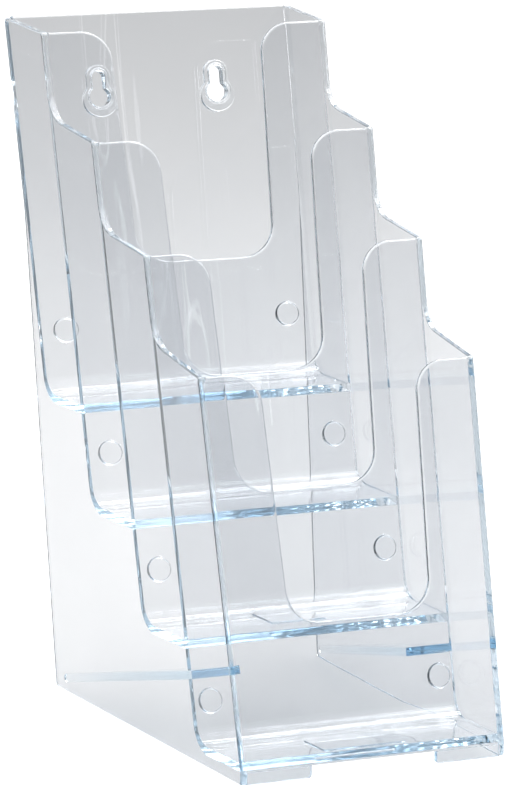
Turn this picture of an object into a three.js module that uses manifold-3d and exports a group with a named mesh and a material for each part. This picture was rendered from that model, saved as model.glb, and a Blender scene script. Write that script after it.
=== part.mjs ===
// A clear four-tier leaflet rack: two stepped side walls hold a back panel, three shared divider panels,
// a front panel and four pocket floors. Millimetres, +Z up, the front faces -Y, and the origin lies on the
// table at the middle of the rack's length and width.

import * as THREE from "three";
import { mergeVertices } from "three/addons/utils/BufferGeometryUtils.js";
import Module from "manifold-3d";

const wasm = await Module();
wasm.setup();

// Driving dimensions
const LEAN = THREE.MathUtils.degToRad(14.8); // every panel leans back from upright
const FLOOR_TILT = THREE.MathUtils.degToRad(1.5); // pocket floors fall towards the rear
const DIVIDERS = 3;
const TIER_PITCH = 33.6; // between panel faces, square to them
const TIER_DROP = 45.7; // each tier below the one behind it, along the panels
const PANEL_HEIGHT = 145.8; // top edge of a divider to the underside of its pocket floor
const FRONT_PANEL_TRIM = 1.7; // the front panel stops this much lower
const BACK_DEPTH = 32.5; // front of the first divider to the rear face of the back panel
const BACK_RISE = 10.2; // back panel above the first divider, along the panels
const FLOOR_LIFT = 4.9; // underside of the lowest floor above the table
const BASE_LENGTH = 155.3; // foot of a side wall, front to rear
const BASE_WIDTH = 109.3; // outside width at the front of the foot
const SPREAD_UP = 0.00023; // the mould's draft: widths grow by this share per millimetre of height
const SPREAD_BACK = 0.00032; // and by this share per millimetre towards the rear
const WALL = 2.3; // side wall thickness
const SHEET = 2.2; // panel thickness at the top edge
const DRAFT = 0.0045; // panels thicken by this much per millimetre downwards
const FLOOR_THICKNESS = 3.1;
const GAP = 0.3; // bond line between pieces

// Side wall outline
const KINK_BELOW_TOP = 73; // where the rear edge turns from the panel's lean to the foot
const STEP_BELOW_TOP = 32.7; // where a tier's front edge would meet the slope to the next tier
const STEP_RADIUS = 13;
const KINK_RADIUS = 30;
const EDGE_RADIUS = 1.6; // outer corners of the walls

// Finger cut-outs
const CUT_HALF_WIDTH_TOP = 31.8;
const CUT_HALF_WIDTH_FOOT = 29.4;
const CUT_DEPTH = 90;
const FRONT_CUT_DEPTH = 92;
const SHOULDER_RADIUS = 11.5;
const CUT_FOOT_RADIUS = 12.5;

// Pocket floors
const POCKET_RADIUS = 9; // inside bend between a floor and the panel behind it
const RISER_ABOVE_BEND = 1; // a floor node reaches this far up the panel behind it

// Ejector discs on the wall behind each pocket
const DISC_RADIUS = 5;
const DISC_RISE = 0.9;
const DISC_OFFSET = 46.8; // from the middle
const DISC_BELOW_TOP = [122, 161, 161, 165]; // back panel, then the dividers

// Hanging keyholes in the back panel
const KEYHOLE_OFFSET = 25.5; // from the middle
const KEYHOLE_BELOW_TOP = 33; // to the middle of the round part
const KEYHOLE_RADIUS = 3.9;
const KEYHOLE_SLOT_RADIUS = 2.4;
const KEYHOLE_SLOT_RISE = 7.7; // middle of the slot's end above the middle of the round part
const RIM_RADIUS = 6.7;
const RIM_SLOT_RADIUS = 4.7;
const RIM_DROP = 1.3; // the rim's round part sits this much lower than the hole's
const RIM_HEIGHT = 1.2;

// Front feet and base rails
const FOOT_WIDTH = 26.5; // inwards from the side wall
const FOOT_CORNER = 1.5;
const RAIL_WIDTH = 18.2; // at its front end, against the last divider
const RAIL_REAR_WIDTH = 2; // it narrows evenly towards the rear
const RAIL_THICKNESS = 3.2;
const RAIL_REAR_INSET = 6; // from the rear of the foot
const RAIL_REAR_HEIGHT = 4.5; // middle of the rail's rear end above the table
const RAIL_FRONT_BELOW_TOP = 155; // where the rail meets the last divider, below that panel's top edge

// Directions in the side view, where x stands for the rack's Y and y for its Z
const up = new THREE.Vector2(Math.sin(LEAN), Math.cos(LEAN));
const back = new THREE.Vector2(Math.cos(LEAN), -Math.sin(LEAN));
const floorwards = new THREE.Vector2(Math.cos(FLOOR_TILT), -Math.sin(FLOOR_TILT));

const tierStep = up.clone().multiplyScalar(TIER_DROP).addScaledVector(back, TIER_PITCH);
const backTopFromFirst = up.clone().multiplyScalar(BACK_RISE).addScaledVector(back, BACK_DEPTH);
const overallLength = PANEL_HEIGHT * up.x + DIVIDERS * tierStep.x + backTopFromFirst.x;
const FRONT_Y = -overallLength / 2;
const BACK_PANEL = 0;
const FRONT_PANEL = DIVIDERS + 1;
const INNER_HALF = BASE_WIDTH / 2 - WALL - GAP;

// Top front edge of a panel in the side view, before the front panel is trimmed
function panelTop(tier) {
  const first = new THREE.Vector2(FRONT_Y, FLOOR_LIFT)
    .addScaledVector(up, PANEL_HEIGHT)
    .addScaledVector(tierStep, DIVIDERS);
  if (tier === BACK_PANEL) return first.add(backTopFromFirst).addScaledVector(back, -SHEET);
  return first.addScaledVector(tierStep, 1 - tier);
}

const sheetAt = (below) => SHEET + DRAFT * below;

function onFront(tier, below) {
  return panelTop(tier).addScaledVector(up, -below);
}

function onRear(tier, below) {
  return onFront(tier, below).addScaledVector(back, sheetAt(below));
}

const spread = (y, z) => 1 + SPREAD_UP * z + SPREAD_BACK * (y - FRONT_Y);

// Where two lines in the side view cross, each given by a point and a direction
function crossing(a, alongA, b, alongB) {
  const offset = b.clone().sub(a);
  return a.clone().addScaledVector(alongA, offset.cross(alongB) / alongA.cross(alongB));
}

// A closed outline from corners, each a point with an optional radius
function roundedShape(corners) {
  const shape = new THREE.Shape();
  corners.forEach(({ at, radius = 0 }, i) => {
    const toLast = corners.at(i - 1).at.clone().sub(at).normalize();
    const toNext = corners[(i + 1) % corners.length].at.clone().sub(at).normalize();
    const join = i === 0 ? "moveTo" : "lineTo";
    if (radius === 0) {
      shape[join](at.x, at.y);
      return;
    }
    const half = Math.acos(toLast.dot(toNext)) / 2;
    const start = at.clone().addScaledVector(toLast, radius / Math.tan(half));
    const end = at.clone().addScaledVector(toNext, radius / Math.tan(half));
    const middle = toLast.add(toNext).normalize();
    const centre = at.clone().addScaledVector(middle, radius / Math.sin(half));
    const from = start.clone().sub(centre);
    const to = end.clone().sub(centre);
    shape[join](start.x, start.y);
    shape.absarc(centre.x, centre.y, radius, from.angle(), to.angle(), from.cross(to) < 0);
  });
  shape.closePath();
  return shape;
}

const corner = (at, radius) => ({ at, radius });

// Booleans need plain positions with shared corners
function toSolid(geometry) {
  const plain = geometry.clone();
  plain.deleteAttribute("normal");
  plain.deleteAttribute("uv");
  const merged = mergeVertices(plain);
  const vertProperties = Float32Array.from(merged.attributes.position.array);
  const triVerts = Uint32Array.from(merged.index.array);
  return new wasm.Manifold(new wasm.Mesh({ numProp: 3, vertProperties, triVerts }));
}

function toGeometry(solid) {
  const { vertProperties, triVerts } = solid.getMesh();
  const geometry = new THREE.BufferGeometry();
  geometry.setAttribute("position", new THREE.BufferAttribute(vertProperties, 3));
  geometry.setIndex(new THREE.BufferAttribute(triVerts, 1));
  return geometry;
}

function reshape(geometry, move) {
  const positions = geometry.attributes.position;
  const point = new THREE.Vector3();
  for (let i = 0; i < positions.count; i++) {
    point.fromBufferAttribute(positions, i);
    move(point);
    positions.setXYZ(i, point.x, point.y, point.z);
  }
  return geometry;
}

// Widens a piece by the mould's draft at each point
const drafted = (geometry) => reshape(geometry, (p) => p.setX(p.x * spread(p.y, p.z)));

// A side-view outline swept across the rack from one x to another
function acrossRack(outline, fromX, toX, curveSegments = 8) {
  const geometry = new THREE.ExtrudeGeometry(outline, {
    depth: toX - fromX,
    bevelEnabled: false,
    curveSegments,
  });
  return drafted(reshape(geometry, (p) => p.set(fromX + p.z, p.x, p.y)));
}

// A flat outline given by x and height below the panel's top becomes part of a leaning panel.
// Its front lies `proud` in front of the panel's face and its rear `behind` behind that face.
function onPanel(outline, tier, proud, behind, curveSegments = 8) {
  const geometry = new THREE.ExtrudeGeometry(outline, { depth: 1, bevelEnabled: false, curveSegments });
  return reshape(geometry, (p) => {
    const below = -p.y;
    const depth = THREE.MathUtils.lerp(behind(below), -proud, p.z);
    const place = onFront(tier, below).addScaledVector(back, depth);
    p.set(p.x, place.x, place.y);
  });
}

const point = (x, y) => new THREE.Vector2(x, y);

function makeMesh(name, geometry, color = 0xdfeaf2) {
  const material = new THREE.MeshStandardMaterial({ color, roughness: 0.06, metalness: 0 });
  const mesh = new THREE.Mesh(geometry, material);
  mesh.name = name;
  return mesh;
}

function sideWallOutline() {
  const backTop = onFront(BACK_PANEL, 0).addScaledVector(back, SHEET);
  const corners = [
    corner(point(FRONT_Y, 0), EDGE_RADIUS),
    corner(point(FRONT_Y + BASE_LENGTH, 0), EDGE_RADIUS),
    corner(backTop.clone().addScaledVector(up, -KINK_BELOW_TOP), KINK_RADIUS),
    corner(backTop, EDGE_RADIUS),
  ];
  for (let tier = 1; tier <= DIVIDERS; tier++) {
    corners.push(corner(onFront(tier, 0), EDGE_RADIUS));
    corners.push(corner(onFront(tier, STEP_BELOW_TOP), STEP_RADIUS));
  }
  corners.push(corner(onFront(FRONT_PANEL, FRONT_PANEL_TRIM), EDGE_RADIUS));
  corners.push(corner(onFront(FRONT_PANEL, PANEL_HEIGHT), 0));
  return roundedShape(corners);
}

// side is -1 for the left wall and 1 for the right one
function sideWall(side) {
  const outside = (side * BASE_WIDTH) / 2;
  const inside = outside - side * WALL;
  return acrossRack(sideWallOutline(), Math.min(outside, inside), Math.max(outside, inside), 6);
}

// How far below its top a panel ends, where the floor of the pocket in front of it takes over
function jointBelow(tier) {
  const floorTier = tier + 1;
  const inner = crossing(onFront(tier, 0), up, floorTop(floorTier), floorwards);
  const bend = (Math.PI / 2 + LEAN - FLOOR_TILT) / 2;
  const rise = POCKET_RADIUS / Math.tan(bend) + RISER_ABOVE_BEND;
  return onFront(tier, 0).distanceTo(inner) - rise;
}

function floorTop(tier) {
  return onFront(tier, PANEL_HEIGHT).add(point(0, FLOOR_THICKNESS));
}

// Half the panel's width at its top or foot, and the cut-out in widths that the draft hasn't widened yet
function panelOutline(tier) {
  const top = tier === FRONT_PANEL ? -FRONT_PANEL_TRIM : 0;
  const foot = tier === FRONT_PANEL ? -PANEL_HEIGHT : -jointBelow(tier) + GAP;
  if (tier === BACK_PANEL) {
    return roundedShape([
      corner(point(-INNER_HALF, foot)),
      corner(point(INNER_HALF, foot)),
      corner(point(INNER_HALF, top)),
      corner(point(-INNER_HALF, top)),
    ]);
  }
  const depth = tier === FRONT_PANEL ? FRONT_CUT_DEPTH : CUT_DEPTH;
  const middle = onFront(tier, depth / 2);
  const widening = spread(middle.x, middle.y);
  const cutTop = CUT_HALF_WIDTH_TOP / widening;
  const cutFoot = CUT_HALF_WIDTH_FOOT / widening;
  return roundedShape([
    corner(point(-INNER_HALF, foot)),
    corner(point(INNER_HALF, foot)),
    corner(point(INNER_HALF, top)),
    corner(point(cutTop, top), SHOULDER_RADIUS),
    corner(point(cutFoot, top - depth), CUT_FOOT_RADIUS),
    corner(point(-cutFoot, top - depth), CUT_FOOT_RADIUS),
    corner(point(-cutTop, top), SHOULDER_RADIUS),
    corner(point(-INNER_HALF, top)),
  ]);
}

// A round part with a narrower slot above it
function keyholeOutline(x, y, radius, slotRadius, slotRise, Path = THREE.Shape) {
  const outline = new Path();
  const shoulder = Math.asin(slotRadius / radius);
  outline.absarc(x, y, radius, Math.PI / 2 + shoulder, Math.PI / 2 - shoulder + 2 * Math.PI, false);
  outline.absarc(x, y + slotRise, slotRadius, 0, Math.PI, false);
  outline.closePath();
  return outline;
}

// Widths are divided by the draft at that height, so that round features stay round
function undraftedX(x, tier, below) {
  const place = onFront(tier, below);
  return x / spread(place.x, place.y);
}

function keyholeX(side) {
  return undraftedX(side * KEYHOLE_OFFSET, BACK_PANEL, KEYHOLE_BELOW_TOP);
}

function panel(tier) {
  const outline = panelOutline(tier);
  if (tier === BACK_PANEL) {
    for (const side of [-1, 1]) {
      const hole = [keyholeX(side), -KEYHOLE_BELOW_TOP, KEYHOLE_RADIUS, KEYHOLE_SLOT_RADIUS];
      outline.holes.push(keyholeOutline(...hole, KEYHOLE_SLOT_RISE, THREE.Path));
    }
  }
  let solid = toSolid(onPanel(outline, tier, 0, sheetAt));
  if (tier !== FRONT_PANEL) {
    const below = DISC_BELOW_TOP[tier];
    for (const side of [-1, 1]) {
      const disc = new THREE.Shape();
      disc.absarc(undraftedX(side * DISC_OFFSET, tier, below), -below, DISC_RADIUS, 0, 2 * Math.PI, false);
      solid = solid.add(toSolid(onPanel(disc, tier, DISC_RISE, () => SHEET / 2, 16)));
    }
  }
  return drafted(toGeometry(solid));
}

function keyholeRim(side) {
  const x = keyholeX(side);
  const y = -KEYHOLE_BELOW_TOP;
  const slotRise = KEYHOLE_SLOT_RISE + RIM_DROP;
  const outline = keyholeOutline(x, y - RIM_DROP, RIM_RADIUS, RIM_SLOT_RADIUS, slotRise);
  outline.holes.push(keyholeOutline(x, y, KEYHOLE_RADIUS, KEYHOLE_SLOT_RADIUS, KEYHOLE_SLOT_RISE, THREE.Path));
  return drafted(onPanel(outline, BACK_PANEL, GAP + RIM_HEIGHT, () => -GAP, 10));
}

// The floor of the pocket behind panel `tier`, with the bend up to the panel behind it
function pocketFloor(tier) {
  const behind = tier - 1;
  const joint = jointBelow(behind);
  const topAtFront = floorTop(tier);
  const underside = onFront(tier, PANEL_HEIGHT);
  const frontEnd = onRear(tier, PANEL_HEIGHT).addScaledVector(back, GAP);
  const rearFoot = onRear(behind, joint);
  const rearFall = rearFoot.clone().sub(onRear(behind, 0));
  const outline = roundedShape([
    corner(crossing(frontEnd, up, underside, floorwards)),
    corner(crossing(rearFoot, rearFall, underside, floorwards), POCKET_RADIUS + SHEET),
    corner(rearFoot),
    corner(onFront(behind, joint)),
    corner(crossing(onFront(behind, 0), up, topAtFront, floorwards), POCKET_RADIUS),
    corner(crossing(frontEnd, up, topAtFront, floorwards)),
  ]);
  return acrossRack(outline, -INNER_HALF, INNER_HALF);
}

// Short skirts below the front panel, whose leaning lower edge drops towards the rear
function frontFoot(side) {
  const outer = side * INNER_HALF;
  const inner = outer - side * FOOT_WIDTH;
  const top = FLOOR_LIFT - sheetAt(PANEL_HEIGHT) * up.x - GAP;
  const outline = roundedShape([
    corner(point(outer, 0)),
    corner(point(outer, top)),
    corner(point(inner, top)),
    corner(point(inner, 0), FOOT_CORNER),
  ]);
  const geometry = new THREE.ExtrudeGeometry(outline, { depth: SHEET, bevelEnabled: false, curveSegments: 6 });
  return drafted(reshape(geometry, (p) => p.set(p.x, FRONT_Y + SHEET - p.z, p.y)));
}

// An inclined ledge inside each side wall, from a narrow end at the rear of the foot up to the last divider
function baseRail(side) {
  const rear = point(FRONT_Y + BASE_LENGTH - RAIL_REAR_INSET, RAIL_REAR_HEIGHT);
  const front = onRear(DIVIDERS, RAIL_FRONT_BELOW_TOP).addScaledVector(back, GAP);
  const alongRail = front.clone().sub(rear).normalize();
  const above = new THREE.Vector2(-alongRail.y, alongRail.x).multiplyScalar(-RAIL_THICKNESS / 2);
  const outline = roundedShape([
    corner(rear.clone().sub(above), RAIL_THICKNESS * 0.45),
    corner(rear.clone().add(above), RAIL_THICKNESS * 0.45),
    corner(crossing(front, up, rear.clone().add(above), alongRail)),
    corner(crossing(front, up, rear.clone().sub(above), alongRail)),
  ]);
  const outer = side * INNER_HALF;
  const geometry = new THREE.ExtrudeGeometry(outline, { depth: 1, bevelEnabled: false, curveSegments: 8 });
  return drafted(
    reshape(geometry, (p) => {
      const width = THREE.MathUtils.mapLinear(p.x, rear.x, front.x, RAIL_REAR_WIDTH, RAIL_WIDTH);
      const across = side > 0 ? 1 - p.z : p.z;
      p.set(outer - side * width * across, p.x, p.y);
    }),
  );
}

const rack = new THREE.Group();
const sides = { left: -1, right: 1 };
for (const [name, side] of Object.entries(sides)) {
  rack.add(makeMesh(`${name}_side_wall`, sideWall(side)));
  rack.add(makeMesh(`${name}_keyhole_rim`, keyholeRim(side)));
  rack.add(makeMesh(`${name}_front_foot`, frontFoot(side)));
  rack.add(makeMesh(`${name}_base_rail`, baseRail(side)));
}
rack.add(makeMesh("back_panel", panel(BACK_PANEL)));
for (let tier = 1; tier <= DIVIDERS; tier++) {
  rack.add(makeMesh(`divider_panel_${tier}`, panel(tier)));
}
rack.add(makeMesh("front_panel", panel(FRONT_PANEL)));
for (let tier = 1; tier <= FRONT_PANEL; tier++) {
  rack.add(makeMesh(`pocket_floor_${tier}`, pocketFloor(tier)));
}

export default rack;
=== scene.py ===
"""Looks of the clear four-tier leaflet rack: rounded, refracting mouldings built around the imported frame."""

import math

import bpy
import bmesh
from mathutils import Matrix, Vector
from mathutils.geometry import tessellate_polygon


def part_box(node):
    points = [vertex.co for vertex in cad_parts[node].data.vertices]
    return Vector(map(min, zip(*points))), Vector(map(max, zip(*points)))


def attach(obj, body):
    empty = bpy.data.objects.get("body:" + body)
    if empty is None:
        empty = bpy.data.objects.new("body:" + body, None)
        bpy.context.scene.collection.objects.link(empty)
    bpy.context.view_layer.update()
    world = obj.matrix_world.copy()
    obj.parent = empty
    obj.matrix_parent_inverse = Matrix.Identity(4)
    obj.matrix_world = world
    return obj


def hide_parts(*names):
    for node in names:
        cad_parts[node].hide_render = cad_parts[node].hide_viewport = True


# Shapes are worked out in millimetres and go into the scene in metres
MM = 0.001

# Driving dimensions of the moulding, as in the part's own design
LEAN = math.radians(14.8)  # every panel leans back from upright
FLOOR_TILT = math.radians(1.5)  # pocket floors fall towards the rear
PANEL_HEIGHT = 145.8
FRONT_PANEL_TRIM = 1.7
FLOOR_THICKNESS = 3.1
BASE_LENGTH = 155.3
BASE_WIDTH = 109.3
SPREAD_UP = 0.00023  # widths grow by this share per millimetre of height
SPREAD_BACK = 0.00032  # and by this share per millimetre towards the rear
WALL = 2.3
SHEET = 2.2
DRAFT = 0.0045  # panels thicken by this much per millimetre downwards
KINK_BELOW_TOP = 73
STEP_BELOW_TOP = 32.7
STEP_RADIUS = 13
KINK_RADIUS = 30
CUT_HALF_WIDTH_TOP = 31.8
CUT_HALF_WIDTH_FOOT = 29.4
CUT_DEPTH = 90
FRONT_CUT_DEPTH = 92
SHOULDER_RADIUS = 11.5
CUT_FOOT_RADIUS = 12.5
POCKET_RADIUS = 9
DISC_RADIUS = 5
DISC_RISE = 0.9
DISC_SLOPE = 0.55  # from its outline in: a slope up, a flat rim, and a slope down into the dip
DISC_RIM = 0.15
DISC_DIP_SLOPE = 0.25
DISC_DIP = 0.45  # depth of the dip below the rim
DISC_OFFSET = 46.8
DISC_BELOW_TOP = [122, 161, 161, 165]
KEYHOLE_OFFSET = 25.5
KEYHOLE_BELOW_TOP = 33
KEYHOLE_RADIUS = 3.9
KEYHOLE_SLOT_RADIUS = 2.4
KEYHOLE_SLOT_RISE = 7.7
RIM_RADIUS = 6.7
RIM_SLOT_RADIUS = 4.7
RIM_DROP = 1.3
RIM_HEIGHT = 1.2
PAD_RISE = 0.3
PAD_CORNER = 0.6
# Plain pads on the floors of two sheets: middle, width, and where they start and end from the floor's front
PADS = {2: (-3.3, 23, 10, 27), 3: (-1.5, 34, 2.5, 19)}
FOOT_WIDTH = 26.5
FOOT_CORNER = 1.5
RAIL_WIDTH = 18.2  # at its front end
RAIL_REAR_WIDTH = 2
RAIL_THICKNESS = 3.2
RAIL_REAR_INSET = 6
RAIL_REAR_HEIGHT = 4.5
RAIL_FRONT_BELOW_TOP = 155
RAIL_END_ROUND = 0.45  # rounding of the rear end, as a share of the thickness
RAIL_WALL_ROUND = 0.002  # roundings of the edges along the wall and inside, as shares of the width
RAIL_FREE_ROUND = 0.02

# Finish of the moulding. An edge is its rounding on the near and the far side, and whether it is bonded.
BOND = 0.02  # hairline between bonded pieces
BOND_ROUND = 0.02
BOND_MARGIN = 0.03  # the bonded faces stop this far inside a piece's outline
FREE_EDGE = (0.4, 0.3, False)
TOP_EDGE = (1.0, 0.9, False)
BONDED_EDGE = (BOND_ROUND, BOND_ROUND, True)
WALL_EDGE = (0.6, 0.3, False)
WALL_FRONT = (1.2, BOND_ROUND, False)
WALL_REAR = (0.8, 0.3, False)
WALL_CORNER = 1.7
TOP_FREE = 1.9  # the bond between a panel and a wall starts this far below the panel's top
KEYHOLE_EDGE = (BOND_ROUND, 0.4, False)
LIP_EDGE = (0.5, BOND_ROUND, False)
LIP_STEEPNESS = 1.4
GROOVE_START = 0.6  # the groove in a keyhole's rim starts this far from the hole
GROOVE_SLOPE = 0.26
GROOVE_FLOOR = 0.104
GROOVE_DEPTH = 0.3
ROUND_STEPS = 7
SLOPE_STEPS = 8
ARC_STEP = math.radians(6)
CIRCLE_STEPS = 48
KEYHOLE_STEPS = 40
KEYHOLE_SLOT_STEPS = 20
BEND_CUTS = 18
SHARP_ANGLE = math.radians(40)
SLOPE_EASE = 0.2  # the share of a slope that is rounded at each of its ends

# View and studio
AZIMUTH = math.radians(-26.94)
ELEVATION = math.radians(11.66)
ROLL = math.radians(1.29)
DISTANCE = 2.0272
AIM = Vector((-0.01363, -0.02456, 0.12661))
LENS = 247.19


def flat(x, y):
    """A point or direction in the side view, or on a sheet that is laid flat."""
    return Vector((x, y))


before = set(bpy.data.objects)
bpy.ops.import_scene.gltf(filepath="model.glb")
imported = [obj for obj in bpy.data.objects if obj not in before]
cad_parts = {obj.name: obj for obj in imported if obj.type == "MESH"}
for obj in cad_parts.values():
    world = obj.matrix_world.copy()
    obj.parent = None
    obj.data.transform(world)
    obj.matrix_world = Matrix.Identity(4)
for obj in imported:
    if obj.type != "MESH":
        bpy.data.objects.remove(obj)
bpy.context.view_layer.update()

up = flat(math.sin(LEAN), math.cos(LEAN))
back = flat(math.cos(LEAN), -math.sin(LEAN))
floorwards = flat(math.cos(FLOOR_TILT), -math.sin(FLOOR_TILT))
floor_down = flat(-math.sin(FLOOR_TILT), -math.cos(FLOOR_TILT))

PANELS = ["back_panel", "divider_panel_1", "divider_panel_2", "divider_panel_3", "front_panel"]
BACK_PANEL = 0
FRONT_PANEL = 4
FRONT_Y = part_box("left_side_wall")[0].y / MM
INNER_HALF = BASE_WIDTH / 2 - WALL - BOND


# ---------------------------------------------------------------- side view: x is the rack's Y, y is its Z


def panel_top(tier):
    """Top front edge of a panel in the side view, read from the frame."""
    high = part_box(PANELS[tier])[1] / MM
    top = flat(high.y, high.z) - back * SHEET
    top.y = high.z
    if tier == FRONT_PANEL:
        top += up * FRONT_PANEL_TRIM
    return top


PANEL_TOPS = [panel_top(tier) for tier in range(len(PANELS))]


def sheet_at(below):
    """A panel's thickness this far below its top."""
    return SHEET + DRAFT * below


def on_front(tier, below):
    """The place on a panel's front face this far below its top."""
    return PANEL_TOPS[tier] - up * below


def on_rear(tier, below):
    return on_front(tier, below) + back * sheet_at(below)


def spread(y, z):
    """How much wider the rack is at this place than at its front foot."""
    return 1 + SPREAD_UP * z + SPREAD_BACK * (y - FRONT_Y)


def crossing(a, along_a, b, along_b):
    """Where two lines cross, each given by a point and a direction."""
    share = (b - a).cross(along_b) / along_a.cross(along_b)
    return a + along_a * share


def floor_top(tier):
    return on_front(tier, PANEL_HEIGHT) + flat(0, FLOOR_THICKNESS)


# ---------------------------------------------------------------- outlines: lists of (point, edge after it)


def blend_edges(a, b, share):
    """The edge partway round a fillet between two edges."""
    return (a[0] + (b[0] - a[0]) * share, a[1] + (b[1] - a[1]) * share, a[2] and b[2])


def outline_of(corners):
    """A closed outline from (point, fillet, edge after it) corners."""
    points = []
    for i, (at, fillet, edge) in enumerate(corners):
        last_edge = corners[i - 1][2]
        if fillet == 0:
            points.append((at, (min(edge[0], last_edge[0]), min(edge[1], last_edge[1]), edge[2])))
            continue
        to_last = (corners[i - 1][0] - at).normalized()
        to_next = (corners[(i + 1) % len(corners)][0] - at).normalized()
        half = math.acos(max(-1, min(1, to_last.dot(to_next)))) / 2
        centre = at + (to_last + to_next).normalized() * (fillet / math.sin(half))
        start = at + to_last * (fillet / math.tan(half)) - centre
        turn = math.pi - 2 * half
        sweep = turn if to_last.cross(to_next) < 0 else -turn
        steps = max(3, math.ceil(turn / ARC_STEP))
        for k in range(steps + 1):
            spun = start.copy()
            spun.rotate(Matrix.Rotation(sweep * k / steps, 2))
            points.append((centre + spun, blend_edges(last_edge, edge, k / steps)))
    return points


def circle(x, y, radius, edge):
    ring = []
    for k in range(CIRCLE_STEPS):
        a = 2 * math.pi * k / CIRCLE_STEPS
        ring.append((flat(x + radius * math.cos(a), y + radius * math.sin(a)), edge))
    return ring


def keyhole_outline(x, y, radius, slot_radius, slot_rise, edge):
    """A round part with a narrower slot above it, anticlockwise."""
    shoulder = math.asin(slot_radius / radius)
    first = math.pi / 2 + shoulder
    sweep = 2 * math.pi - 2 * shoulder
    ring = []
    for k in range(KEYHOLE_STEPS + 1):
        a = first + sweep * k / KEYHOLE_STEPS
        ring.append((flat(x + radius * math.cos(a), y + radius * math.sin(a)), edge))
    for k in range(KEYHOLE_SLOT_STEPS + 1):
        a = math.pi * k / KEYHOLE_SLOT_STEPS
        ring.append((flat(x + slot_radius * math.cos(a), y + slot_rise + slot_radius * math.sin(a)), edge))
    return ring


def anticlockwise(outline):
    area = sum(outline[i - 1][0].cross(outline[i][0]) for i in range(len(outline)))
    return outline if area > 0 else outline[::-1]


def inset(outline, distances):
    """The outline's points moved to its left by the given distances, each along its corner's mitre."""
    moved = []
    count = len(outline)
    for i, (at, _) in enumerate(outline):
        along_last = (at - outline[i - 1][0]).normalized()
        along_next = (outline[(i + 1) % count][0] - at).normalized()
        n1 = flat(-along_last.y, along_last.x)
        n2 = flat(-along_next.y, along_next.x)
        mitre = n1 + n2
        moved.append(at + mitre * (distances[i] * 2 / mitre.length_squared))
    return moved


# ---------------------------------------------------------------- solids


def eased(share):
    """From 0 to 1 along a straight slope with a small rounding at both ends."""
    if share < SLOPE_EASE:
        return share * share / (2 * SLOPE_EASE * (1 - SLOPE_EASE))
    if share > 1 - SLOPE_EASE:
        return 1 - eased(1 - share)
    return (share - SLOPE_EASE / 2) / (1 - SLOPE_EASE)


def ramp(start, length, low, high):
    """A slope as (distance inside the outline, height) pairs."""
    shares = [k / SLOPE_STEPS for k in range(SLOPE_STEPS + 1)]
    return [(start + length * share, low + (high - low) * eased(share)) for share in shares]


class Plate:
    """A flat closed solid between depth 0 and its thickness, with rounded edges, built ring by ring."""

    def __init__(self, thickness, tall=1.0):
        """tall stretches the roundings through the thickness, for steeper sides."""
        self.mesh = bmesh.new()
        self.tall = tall
        self.bonded = self.mesh.faces.layers.float.new("bonded")
        self.thickness = thickness
        self.rings = {"near": [], "far": []}
        self.patches = []

    def ring(self, points, depths):
        return [self.mesh.verts.new((p.x, p.y, depth)) for p, depth in zip(points, depths)]

    def bridge(self, a, b, bonded=None):
        count = len(a)
        for i in range(count):
            j = (i + 1) % count
            face = self.mesh.faces.new((a[i], a[j], b[j], b[i]))
            if bonded and bonded[i]:
                face[self.bonded] = 1.0

    def edge(self, outline):
        """The rounded edge round an outline or hole, whose material lies to its left."""
        rings = []
        for side, steps in ((0, range(ROUND_STEPS + 1)), (1, range(ROUND_STEPS, -1, -1))):
            for k in steps:
                a = math.pi / 2 * k / ROUND_STEPS
                points = inset(outline, [edge[side] * (1 - math.sin(a)) for _, edge in outline])
                reach = [edge[side] * self.tall * (1 - math.cos(a)) for _, edge in outline]
                depths = reach if side == 0 else [self.thickness - r for r in reach]
                rings.append(self.ring(points, depths))
        flags = [edge[2] for _, edge in outline]
        for k, (a, b) in enumerate(zip(rings, rings[1:])):
            self.bridge(a, b, flags if k == ROUND_STEPS else None)
        self.rings["near"].append(rings[0])
        self.rings["far"].append(rings[-1])

    def boss(self, outline, profile):
        """A raised shape on the near face, by its anticlockwise outline and (inset, height) pairs."""
        count = len(outline)
        rings = [self.ring(inset(outline, [away] * count), [-height] * count) for away, height in profile]
        for a, b in zip(rings, rings[1:]):
            self.bridge(b, a)
        self.mesh.faces.new(reversed(rings[-1]))
        self.rings["near"].append(rings[0])

    def groove(self, outline, profile):
        """A groove in the near face round the hole made last, by (distance outside it, depth) pairs."""
        count = len(outline)
        rings = [self.rings["near"].pop()]
        rings += [self.ring(inset(outline, [away] * count), [depth] * count) for away, depth in profile]
        for a, b in zip(rings, rings[1:]):
            self.bridge(b, a)
        self.rings["near"].append(rings[-1])

    def patch(self, side, points, hole=None):
        """A bonded part of the near or far face, round one of the face's holes if that is given."""
        depth = 0 if side == "near" else self.thickness
        ring = self.ring(points, [depth] * len(points))
        inner = [self.rings[side].pop(hole)] if hole is not None else []
        self.rings[side].append(ring)
        self.patches.append((side, [ring, *inner]))

    def cap(self, side, rings, bonded):
        corners = [v for ring in rings for v in ring]
        loops = [[Vector((v.co.x, v.co.y, 0)) for v in ring] for ring in rings]
        for a, b, c in tessellate_polygon(loops):
            pa, pb, pc = (corners[i].co for i in (a, b, c))
            if ((pb - pa).cross(pc - pa).z > 0) == (side == "near"):
                b, c = c, b
            face = self.mesh.faces.new((corners[a], corners[b], corners[c]))
            face[self.bonded] = bonded

    def close(self, near_bonded=False, far_bonded=False):
        self.cap("near", self.rings["near"], float(near_bonded))
        self.cap("far", self.rings["far"], float(far_bonded))
        for side, rings in self.patches:
            self.cap(side, rings, 1.0)
        return self.mesh


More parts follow.
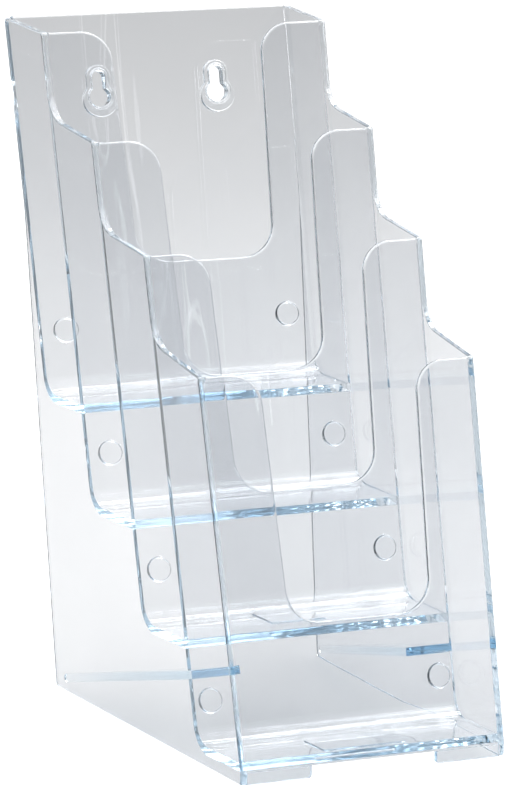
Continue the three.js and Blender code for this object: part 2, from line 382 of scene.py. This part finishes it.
def piece(name, mesh, place, material, nodes):
    """Moves a flat solid to its place, in metres, and puts it on the frame in place of its CAD nodes."""
    for v in mesh.verts:
        where = place(v.co.x, v.co.y, v.co.z)
        where.x *= spread(where.y, where.z)
        v.co = where * MM
    bmesh.ops.recalc_face_normals(mesh, faces=mesh.faces)
    if mesh.calc_volume(signed=True) < 0:
        bmesh.ops.reverse_faces(mesh, faces=mesh.faces)
    data = bpy.data.meshes.new(name)
    mesh.to_mesh(data)
    mesh.free()
    data.shade_smooth()
    data.set_sharp_from_angle(angle=SHARP_ANGLE)
    data.materials.append(material)
    made = bpy.data.objects.new(name, data)
    bpy.context.scene.collection.objects.link(made)
    weighted = made.modifiers.new("even_faces", "WEIGHTED_NORMAL")
    weighted.keep_sharp = True
    weighted.weight = 80
    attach(made, "root")
    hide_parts(*nodes)
    return made


# ---------------------------------------------------------------- bent sheets


def inner_corner(tier):
    return crossing(on_front(tier, 0), up, floor_top(tier + 1), floorwards)


BEND = (math.pi / 2 + LEAN - FLOOR_TILT) / 2  # half the angle between a panel and its floor
BEND_TURN = math.pi - 2 * BEND
BEND_LENGTH = POCKET_RADIUS * BEND_TURN
BEND_TANGENT = POCKET_RADIUS / math.tan(BEND)


def bend_start(tier):
    return (on_front(tier, 0) - inner_corner(tier)).length - BEND_TANGENT


def floor_front(tier):
    """Where the floor's top meets the panel in front of it, and that panel's rear face downwards."""
    ahead = tier + 1
    rear = on_rear(ahead, 0)
    fall = (on_rear(ahead, PANEL_HEIGHT) - rear).normalized()
    return crossing(rear + back * BOND, fall, floor_top(ahead), floorwards), fall


def sheet_length(tier):
    """From the top edge down the panel, round the bend and forward along the floor."""
    front, _ = floor_front(tier)
    return bend_start(tier) + BEND_LENGTH + (inner_corner(tier) - front).length - BEND_TANGENT


def sheet_place(tier):
    """Maps x, minus the distance along the sheet, and depth to a place on the panel, bend or floor."""
    if tier == FRONT_PANEL:

        def place_on_panel(x, y, depth):
            at = on_front(tier, -y) + back * (depth / SHEET * sheet_at(-y))
            return Vector((x, at.x, at.y))

        return place_on_panel

    start = bend_start(tier)
    front, fall = floor_front(tier)
    floor_start = inner_corner(tier) - floorwards * BEND_TANGENT
    floor_run = (floor_start - front).length
    slant = -fall.dot(floorwards) / fall.dot(floor_down)
    centre = on_front(tier, start) - back * POCKET_RADIUS
    first = math.atan2(back.y, back.x)

    def place(x, y, depth):
        along = -y
        if along <= start:
            at = on_front(tier, along) + back * (depth / SHEET * sheet_at(max(along, 0)))
        elif along <= start + BEND_LENGTH:
            share = (along - start) / BEND_LENGTH
            thick = sheet_at(start) + (FLOOR_THICKNESS - sheet_at(start)) * share
            angle = first - BEND_TURN * share
            reach = POCKET_RADIUS + depth / SHEET * thick
            at = centre + flat(math.cos(angle), math.sin(angle)) * reach
        else:
            run = along - start - BEND_LENGTH
            thick = depth / SHEET * FLOOR_THICKNESS
            at = floor_start - floorwards * (run + slant * thick * run / floor_run) + floor_down * thick
        return Vector((x, at.x, at.y))

    return place


def sheet_profile(tier):
    """The sheet's end in the side view, a little inside its faces, where it is bonded to the walls."""
    place = sheet_place(tier)
    if tier == FRONT_PANEL:
        stops = [FRONT_PANEL_TRIM + TOP_FREE, PANEL_HEIGHT - BOND_MARGIN]
    else:
        start = bend_start(tier)
        stops = [TOP_FREE, *(start + BEND_LENGTH * k / BEND_CUTS for k in range(BEND_CUTS + 1))]
        stops.append(sheet_length(tier) - BOND_MARGIN)
    front = [place(0, -s, BOND_MARGIN).yz for s in stops]
    rear = [place(0, -s, SHEET - BOND_MARGIN).yz for s in stops]
    return front + rear[::-1]


def below_on_rear(tier, at):
    """How far down a panel's rear face a side-view point lies."""
    return (PANEL_TOPS[tier] - at).dot(up)


def rear_patch(plate, tier, low_x, high_x, points):
    """The strip of a panel's rear face where another piece's end meets it."""
    heights = [below_on_rear(tier, at) for at in points]
    top = -min(heights) - BOND_MARGIN
    foot = -max(heights) + BOND_MARGIN
    plate.patch("far", [flat(low_x, foot), flat(high_x, foot), flat(high_x, top), flat(low_x, top)])


def undrafted(x, tier, below):
    """The distance from the middle that spreads to x at this place."""
    at = on_front(tier, below)
    return x / spread(at.x, at.y)


def cut_corners(tier, top, depth):
    """The finger cut-out's corners, from right to left."""
    middle = on_front(tier, depth / 2)
    widening = spread(middle.x, middle.y)
    wide = CUT_HALF_WIDTH_TOP / widening
    narrow = CUT_HALF_WIDTH_FOOT / widening
    return [
        (flat(wide, top), SHOULDER_RADIUS, TOP_EDGE),
        (flat(narrow, top - depth), CUT_FOOT_RADIUS, TOP_EDGE),
        (flat(-narrow, top - depth), CUT_FOOT_RADIUS, TOP_EDGE),
        (flat(-wide, top), SHOULDER_RADIUS, TOP_EDGE),
    ]


def sheet_corners(tier):
    """The sheet's outline, laid flat. It is bonded to both walls and, at its foot, to the next panel."""
    top = -FRONT_PANEL_TRIM if tier == FRONT_PANEL else 0
    foot = -PANEL_HEIGHT if tier == FRONT_PANEL else -sheet_length(tier)
    near_wall = INNER_HALF - TOP_EDGE[0]
    corners = [
        (flat(-INNER_HALF, foot), 0, FREE_EDGE if tier == FRONT_PANEL else BONDED_EDGE),
        (flat(INNER_HALF, foot), 0, BONDED_EDGE),
        (flat(INNER_HALF, top), 0, TOP_EDGE),
        (flat(near_wall, top), 0, TOP_EDGE),
    ]
    if tier != BACK_PANEL:
        corners += cut_corners(tier, top, FRONT_CUT_DEPTH if tier == FRONT_PANEL else CUT_DEPTH)
    corners += [
        (flat(-near_wall, top), 0, TOP_EDGE),
        (flat(-INNER_HALF, top), 0, BONDED_EDGE),
    ]
    return corners


def keyhole_x(side):
    return undrafted(side * KEYHOLE_OFFSET, BACK_PANEL, KEYHOLE_BELOW_TOP)


def hole_outline(x, edge):
    y = -KEYHOLE_BELOW_TOP
    return keyhole_outline(x, y, KEYHOLE_RADIUS, KEYHOLE_SLOT_RADIUS, KEYHOLE_SLOT_RISE, edge)


def lip_outline(x):
    y = -KEYHOLE_BELOW_TOP - RIM_DROP
    return keyhole_outline(x, y, RIM_RADIUS, RIM_SLOT_RADIUS, KEYHOLE_SLOT_RISE + RIM_DROP, LIP_EDGE)


def add_keyholes(plate):
    for side in (-1, 1):
        x = keyhole_x(side)
        plate.edge(hole_outline(x, KEYHOLE_EDGE)[::-1])
        lip = lip_outline(x)
        plate.patch("near", inset(lip, [BOND_MARGIN] * len(lip)), hole=-1)


def add_bends(mesh, tier):
    for k in range(BEND_CUTS + 1):
        along = bend_start(tier) + BEND_LENGTH * k / BEND_CUTS
        geometry = mesh.verts[:] + mesh.edges[:] + mesh.faces[:]
        bmesh.ops.bisect_plane(mesh, geom=geometry, dist=1e-5, plane_co=(0, -along, 0), plane_no=(0, 1, 0))


def add_discs(plate, tier):
    """A low disc near each side of a panel, with a raised rim round a shallow dip."""
    rim = ramp(0, DISC_SLOPE, 0, DISC_RISE)
    dip = ramp(DISC_SLOPE + DISC_RIM, DISC_DIP_SLOPE, DISC_RISE, DISC_RISE - DISC_DIP)
    below = DISC_BELOW_TOP[tier]
    for side in (-1, 1):
        x = undrafted(side * DISC_OFFSET, tier, below)
        plate.boss(circle(x, -below, DISC_RADIUS, FREE_EDGE), rim + dip)


def add_pad(plate, tier):
    """A plain raised pad on top of the floor, where the real one carries lettering."""
    middle, width, nearest, furthest = PADS[tier]
    low_y = nearest - sheet_length(tier)
    high_y = furthest - sheet_length(tier)
    low_x = middle - width / 2
    high_x = middle + width / 2
    corners = [flat(low_x, low_y), flat(high_x, low_y), flat(high_x, high_y), flat(low_x, high_y)]
    plate.boss(outline_of([(at, PAD_CORNER, FREE_EDGE) for at in corners]), ramp(0, PAD_RISE, 0, PAD_RISE))


def sheet(name, tier, material, nodes):
    """A panel and, unless it is the front one, the floor of the pocket in front of it, round a bend."""
    plate = Plate(SHEET)
    plate.edge(outline_of(sheet_corners(tier)))
    if tier == BACK_PANEL:
        add_keyholes(plate)
    else:
        floor_end, fall = floor_front(tier - 1)
        side = INNER_HALF - BOND_MARGIN
        rear_patch(plate, tier, -side, side, [floor_end, floor_end + fall * FLOOR_THICKNESS])
    if tier == FRONT_PANEL - 1:
        for low_x in (-INNER_HALF, INNER_HALF - RAIL_WIDTH):
            high_x = low_x + RAIL_WIDTH
            rear_patch(plate, tier, low_x + BOND_MARGIN, high_x - BOND_MARGIN, rail_front())
    if tier != FRONT_PANEL:
        add_discs(plate, tier)
    if tier in PADS:
        add_pad(plate, tier)
    mesh = plate.close()
    if tier != FRONT_PANEL:
        add_bends(mesh, tier)
    return piece(name, mesh, sheet_place(tier), material, nodes)


# ---------------------------------------------------------------- walls, lips, feet and rails


def side_wall_outline():
    corners = [
        (flat(FRONT_Y, 0), WALL_CORNER, WALL_EDGE),
        (flat(FRONT_Y + BASE_LENGTH, 0), WALL_CORNER, WALL_REAR),
        (on_rear(BACK_PANEL, KINK_BELOW_TOP), KINK_RADIUS, WALL_REAR),
        (on_rear(BACK_PANEL, 0), WALL_CORNER, WALL_EDGE),
    ]
    for tier in range(1, FRONT_PANEL):
        corners.append((on_front(tier, 0), WALL_CORNER, WALL_FRONT))
        corners.append((on_front(tier, STEP_BELOW_TOP), STEP_RADIUS, WALL_EDGE))
    corners.append((on_front(FRONT_PANEL, FRONT_PANEL_TRIM), WALL_CORNER, WALL_FRONT))
    corners.append((on_front(FRONT_PANEL, PANEL_HEIGHT), 0, WALL_FRONT))
    return outline_of(corners)


def side_wall(name, side, material):
    """side is -1 for the left wall and 1 for the right one. Depth runs from the outer face inwards."""
    plate = Plate(WALL)
    plate.edge(side_wall_outline())
    for tier in range(len(PANELS)):
        plate.patch("far", sheet_profile(tier))
    rail = rail_outline()
    plate.patch("far", inset(rail, [BOND_MARGIN] * len(rail)))
    outside = side * BASE_WIDTH / 2

    def place(y, z, depth):
        return Vector((outside - side * depth, y, z))

    mesh = plate.close()
    return piece(f"{name}_wall_moulding", mesh, place, material, [f"{name}_side_wall"])


def keyhole_lip(name, side, material):
    """The raised rim round a keyhole, with a fine groove between the hole and the rim's outer edge."""
    plate = Plate(RIM_HEIGHT, tall=LIP_STEEPNESS)
    x = keyhole_x(side)
    hole = hole_outline(x, LIP_EDGE)[::-1]
    plate.edge(lip_outline(x))
    plate.edge(hole)
    down = ramp(GROOVE_START, GROOVE_SLOPE, 0, GROOVE_DEPTH)
    out = ramp(GROOVE_START + GROOVE_SLOPE + GROOVE_FLOOR, GROOVE_SLOPE, GROOVE_DEPTH, 0)
    plate.groove(hole, down + out)

    def place(px, py, depth):
        at = on_front(BACK_PANEL, -py) - back * (BOND + RIM_HEIGHT - depth)
        return Vector((px, at.x, at.y))

    mesh = plate.close(far_bonded=True)
    return piece(f"{name}_keyhole_lip", mesh, place, material, [f"{name}_keyhole_rim"])


def front_skirt(name, side, material):
    """A short foot under the front panel, its top shaped to the panel's leaning lower edge."""
    height = on_front(FRONT_PANEL, PANEL_HEIGHT).y - BOND
    outer = side * INNER_HALF
    inner = outer - side * FOOT_WIDTH
    corners = [
        (flat(inner, 0), FOOT_CORNER, FREE_EDGE),
        (flat(inner, height), 0, FREE_EDGE),
        (flat(outer, height), 0, FREE_EDGE),
        (flat(outer, 0), 0, FREE_EDGE),
    ]
    plate = Plate(SHEET)
    plate.edge(anticlockwise(outline_of(corners)))

    def place(x, z, depth):
        lowered = z * (1 - depth * math.tan(LEAN) / height)
        return Vector((x, FRONT_Y + depth, lowered))

    mesh = plate.close()
    return piece(f"{name}_foot_moulding", mesh, place, material, [f"{name}_front_foot"])


def rail_line():
    """The rail's rear and front ends in the side view, its direction and half its thickness upwards."""
    rear = flat(FRONT_Y + BASE_LENGTH - RAIL_REAR_INSET, RAIL_REAR_HEIGHT)
    front = on_rear(FRONT_PANEL - 1, RAIL_FRONT_BELOW_TOP) + back * BOND
    along = (front - rear).normalized()
    above = flat(along.y, -along.x) * (RAIL_THICKNESS / 2)
    return rear, front, along, above


def rail_front():
    rear, front, along, above = rail_line()
    return [crossing(front, up, rear + above, along), crossing(front, up, rear - above, along)]


def rail_outline():
    rear, _, _, above = rail_line()
    high, low = rail_front()
    rounding = RAIL_THICKNESS * RAIL_END_ROUND
    corners = [
        (rear - above, rounding, FREE_EDGE),
        (rear + above, rounding, FREE_EDGE),
        (high, 0, BONDED_EDGE),
        (low, 0, FREE_EDGE),
    ]
    return anticlockwise(outline_of(corners))


def base_ledge(name, side, material):
    """A ledge inside the wall's foot, narrow at the rear. Its depth runs from 0 at the wall to 1 inside."""
    rear, front, _, _ = rail_line()
    plate = Plate(1)
    plate.edge([(at, (RAIL_WALL_ROUND, RAIL_FREE_ROUND, edge[2])) for at, edge in rail_outline()])
    outer = side * INNER_HALF

    def place(y, z, depth):
        share = (rear.x - y) / (rear.x - front.x)
        width = RAIL_REAR_WIDTH + (RAIL_WIDTH - RAIL_REAR_WIDTH) * share
        return Vector((outer - side * width * depth, y, z))

    mesh = plate.close(near_bonded=True)
    return piece(f"{name}_rail_moulding", mesh, place, material, [f"{name}_base_rail"])


# ---------------------------------------------------------------- materials


PAPER_WASH = 0.6
LAMP_TINT = (0.94, 0.942, 0.946, 1)
PALE_TINT = (0.90, 0.908, 0.922, 1)
CLEAR_TINT = (0.93, 0.936, 0.948, 1)


def clear_plastic(name, depth_colour, density):
    material = bpy.data.materials.new(name)
    material.use_nodes = True
    tree = material.node_tree
    tree.nodes.clear()
    new = tree.nodes.new
    link = tree.links.new
    output = new("ShaderNodeOutputMaterial")
    where = new("ShaderNodeTexCoord")
    body = new("ShaderNodeBsdfPrincipled")
    body.inputs["IOR"].default_value = 1.58
    body.inputs["Transmission Weight"].default_value = 1.0

    flow = new("ShaderNodeTexNoise")
    flow.inputs["Scale"].default_value = 14.0
    flow.inputs["Detail"].default_value = 2.0
    link(where.outputs["Object"], flow.inputs["Vector"])
    tint = new("ShaderNodeValToRGB")
    tint.color_ramp.elements[0].position = 0.35
    tint.color_ramp.elements[0].color = PALE_TINT
    tint.color_ramp.elements[1].position = 0.65
    tint.color_ramp.elements[1].color = CLEAR_TINT
    link(flow.outputs["Fac"], tint.inputs["Fac"])
    link(tint.outputs["Color"], body.inputs["Base Color"])

    haze = new("ShaderNodeTexNoise")
    haze.inputs["Scale"].default_value = 240.0
    haze.inputs["Detail"].default_value = 3.0
    link(where.outputs["Object"], haze.inputs["Vector"])
    rough = new("ShaderNodeMapRange")
    rough.inputs["To Min"].default_value = 0.0
    rough.inputs["To Max"].default_value = 0.02
    link(haze.outputs["Fac"], rough.inputs["Value"])
    link(rough.outputs["Result"], body.inputs["Roughness"])

    stretch = new("ShaderNodeMapping")
    stretch.inputs["Scale"].default_value = (70, 9, 9)
    link(where.outputs["Object"], stretch.inputs["Vector"])
    ripple = new("ShaderNodeTexNoise")
    ripple.inputs["Scale"].default_value = 1.0
    ripple.inputs["Detail"].default_value = 1.0
    link(stretch.outputs["Vector"], ripple.inputs["Vector"])
    wave = new("ShaderNodeBump")
    wave.inputs["Strength"].default_value = 0.06
    wave.inputs["Distance"].default_value = 0.002
    link(ripple.outputs["Fac"], wave.inputs["Height"])
    link(wave.outputs["Normal"], body.inputs["Normal"])

    rays = new("ShaderNodeLightPath")

    def mixed(factor, first, second):
        mix = new("ShaderNodeMixShader")
        link(factor, mix.inputs["Fac"])
        link(first, mix.inputs[1])
        link(second, mix.inputs[2])
        return mix.outputs["Shader"]

    # Behind the surface that the camera sees first, bonded faces let rays straight through, as in one
    # moulding. Light on its way to the floor passes straight through every surface, with a slight tint
    bond = new("ShaderNodeAttribute")
    bond.attribute_name = "bonded"
    open_joint = new("ShaderNodeBsdfTransparent")
    fused = mixed(bond.outputs["Fac"], body.outputs["BSDF"], open_joint.outputs["BSDF"])
    lamp_ray = new("ShaderNodeMath")
    lamp_ray.operation = "MAXIMUM"
    link(rays.outputs["Is Shadow Ray"], lamp_ray.inputs[0])
    link(rays.outputs["Is Diffuse Ray"], lamp_ray.inputs[1])
    through = new("ShaderNodeBsdfTransparent")
    through.inputs["Color"].default_value = LAMP_TINT
    lit = mixed(lamp_ray.outputs[0], fused, through.outputs["BSDF"])
    link(mixed(rays.outputs["Is Camera Ray"], lit, body.outputs["BSDF"]), output.inputs["Surface"])

    depth = new("ShaderNodeVolumeAbsorption")
    depth.inputs["Color"].default_value = depth_colour
    depth.inputs["Density"].default_value = density
    link(depth.outputs["Volume"], output.inputs["Volume"])
    return material


def pale_floor():
    material = bpy.data.materials.new("pale_paper")
    material.use_nodes = True
    tree = material.node_tree
    body = tree.nodes["Principled BSDF"]
    body.inputs["Roughness"].default_value = 0.9
    body.inputs["Specular IOR Level"].default_value = 0.0
    grain = tree.nodes.new("ShaderNodeTexNoise")
    grain.inputs["Scale"].default_value = 3.0
    tone = tree.nodes.new("ShaderNodeValToRGB")
    tone.color_ramp.elements[0].color = (0.53, 0.53, 0.53, 1)
    tone.color_ramp.elements[1].color = (0.55, 0.55, 0.55, 1)
    tree.links.new(grain.outputs["Fac"], tone.inputs["Fac"])
    tree.links.new(tone.outputs["Color"], body.inputs["Base Color"])
    # Seen directly the paper is washed out to white, as around the object in a catalogue photograph
    rays = tree.nodes.new("ShaderNodeLightPath")
    wash = tree.nodes.new("ShaderNodeMath")
    wash.operation = "MULTIPLY"
    wash.inputs[1].default_value = PAPER_WASH
    tree.links.new(rays.outputs["Is Camera Ray"], wash.inputs[0])
    tree.links.new(wash.outputs[0], body.inputs["Emission Strength"])
    body.inputs["Emission Color"].default_value = (1, 1, 1, 1)
    return material


# ---------------------------------------------------------------- studio


def studio():
    size = 12.0
    low = -0.00005
    data = bpy.data.meshes.new("studio_floor")
    corners = [(-size, -size, low), (size, -size, low), (size, size, low), (-size, size, low)]
    data.from_pydata(corners, [], [(0, 1, 2, 3)])
    data.materials.append(pale_floor())
    floor = bpy.data.objects.new("studio_floor", data)
    bpy.context.scene.collection.objects.link(floor)

    def softbox(name, at, aim, width, height, power):
        light = bpy.data.lights.new(name, "AREA")
        light.shape = "RECTANGLE"
        light.size = width
        light.size_y = height
        light.energy = power
        lamp = bpy.data.objects.new(name, light)
        lamp.location = at
        lamp.rotation_mode = "QUATERNION"
        lamp.rotation_quaternion = (Vector(aim) - Vector(at)).to_track_quat("-Z", "Y")
        bpy.context.scene.collection.objects.link(lamp)

    softbox("key_softbox", (0.59, 0.25, 1.08), (0.1, -0.1, 0), 0.7, 0.3, 7)
    softbox("right_softbox", (1.2, -0.35, 1.0), (0, 0, 0.05), 1.2, 1.2, 20)
    softbox("front_strip", (0.57, -1.10, 0.60), (0.07, 0, 0.31), 0.003, 0.34, 0.006)
    softbox("left_softbox", (-1.6, 0.3, 0.7), (0, 0, 0.12), 0.4, 1.2, 6)

    world = bpy.data.worlds.new("studio_air")
    bpy.context.scene.world = world
    world.use_nodes = True
    tree = world.node_tree
    sky = tree.nodes["Background"]
    where = tree.nodes.new("ShaderNodeTexCoord")
    split = tree.nodes.new("ShaderNodeSeparateXYZ")
    tree.links.new(where.outputs["Generated"], split.inputs["Vector"])

    def ranged(socket, low, high, at_low, at_high):
        node = tree.nodes.new("ShaderNodeMapRange")
        node.interpolation_type = "SMOOTHSTEP"
        node.inputs["From Min"].default_value = low
        node.inputs["From Max"].default_value = high
        node.inputs["To Min"].default_value = at_low
        node.inputs["To Max"].default_value = at_high
        tree.links.new(socket, node.inputs["Value"])
        return node.outputs["Result"]

    def combined(operation, first, second=None):
        node = tree.nodes.new("ShaderNodeMath")
        node.operation = operation
        tree.links.new(first, node.inputs[0])
        if second:
            tree.links.new(second, node.inputs[1])
        return node.outputs[0]

    # Bright behind and overhead, dimmer in front, with dark flags at both sides that draw the edges
    around = ranged(split.outputs["Y"], -0.8, 0.6, 0.38, 1.3)
    overhead = ranged(split.outputs["Z"], 0.3, 0.8, 0.3, 1.5)
    flags = ranged(combined("ABSOLUTE", split.outputs["X"]), 0.62, 0.85, 1.0, 0.2)
    light = combined("MULTIPLY", combined("MAXIMUM", around, overhead), flags)
    tree.links.new(light, sky.inputs["Strength"])
    sky.inputs["Color"].default_value = (0.985, 0.99, 1.0, 1)


def camera():
    toward = Vector(
        (
            math.sin(AZIMUTH) * math.cos(ELEVATION),
            -math.cos(AZIMUTH) * math.cos(ELEVATION),
            math.sin(ELEVATION),
        )
    )
    right = (-toward).cross(Vector((0, 0, 1))).normalized()
    above = right.cross(-toward)
    x = right * math.cos(ROLL) + above * math.sin(ROLL)
    y = above * math.cos(ROLL) - right * math.sin(ROLL)
    data = bpy.data.cameras.new("camera")
    data.lens = LENS
    data.sensor_width = 36
    data.clip_end = 50
    made = bpy.data.objects.new("camera", data)
    turned = Matrix((x, y, toward)).transposed().to_4x4()
    made.matrix_world = Matrix.Translation(AIM + toward * DISTANCE) @ turned
    bpy.context.scene.collection.objects.link(made)
    bpy.context.scene.camera = made


def render_look():
    scene = bpy.context.scene
    scene.view_settings.view_transform = "Standard"
    scene.cycles.max_bounces = 64
    scene.cycles.transmission_bounces = 64
    scene.cycles.glossy_bounces = 64
    scene.cycles.transparent_max_bounces = 64
    scene.cycles.caustics_reflective = False
    scene.cycles.caustics_refractive = False


camera()
studio()
render_look()

wall_plastic = clear_plastic("clear_wall_styrene", (0.30, 0.50, 0.62, 1), 4.0)
sheet_plastic = clear_plastic("clear_sheet_styrene", (0.27, 0.50, 0.64, 1), 10.0)
detail_plastic = clear_plastic("clear_detail_styrene", (0.03, 0.52, 0.80, 1), 16.0)

for name, side in (("left", -1), ("right", 1)):
    side_wall(name, side, wall_plastic)
    keyhole_lip(name, side, detail_plastic)
    front_skirt(name, side, detail_plastic)
    base_ledge(name, side, detail_plastic)
sheet("back_sheet", BACK_PANEL, sheet_plastic, ["back_panel", "pocket_floor_1"])
for tier in range(1, FRONT_PANEL):
    covered = [f"divider_panel_{tier}", f"pocket_floor_{tier + 1}"]
    sheet(f"divider_sheet_{tier}", tier, sheet_plastic, covered)
sheet("front_panel_moulding", FRONT_PANEL, sheet_plastic, ["front_panel"])
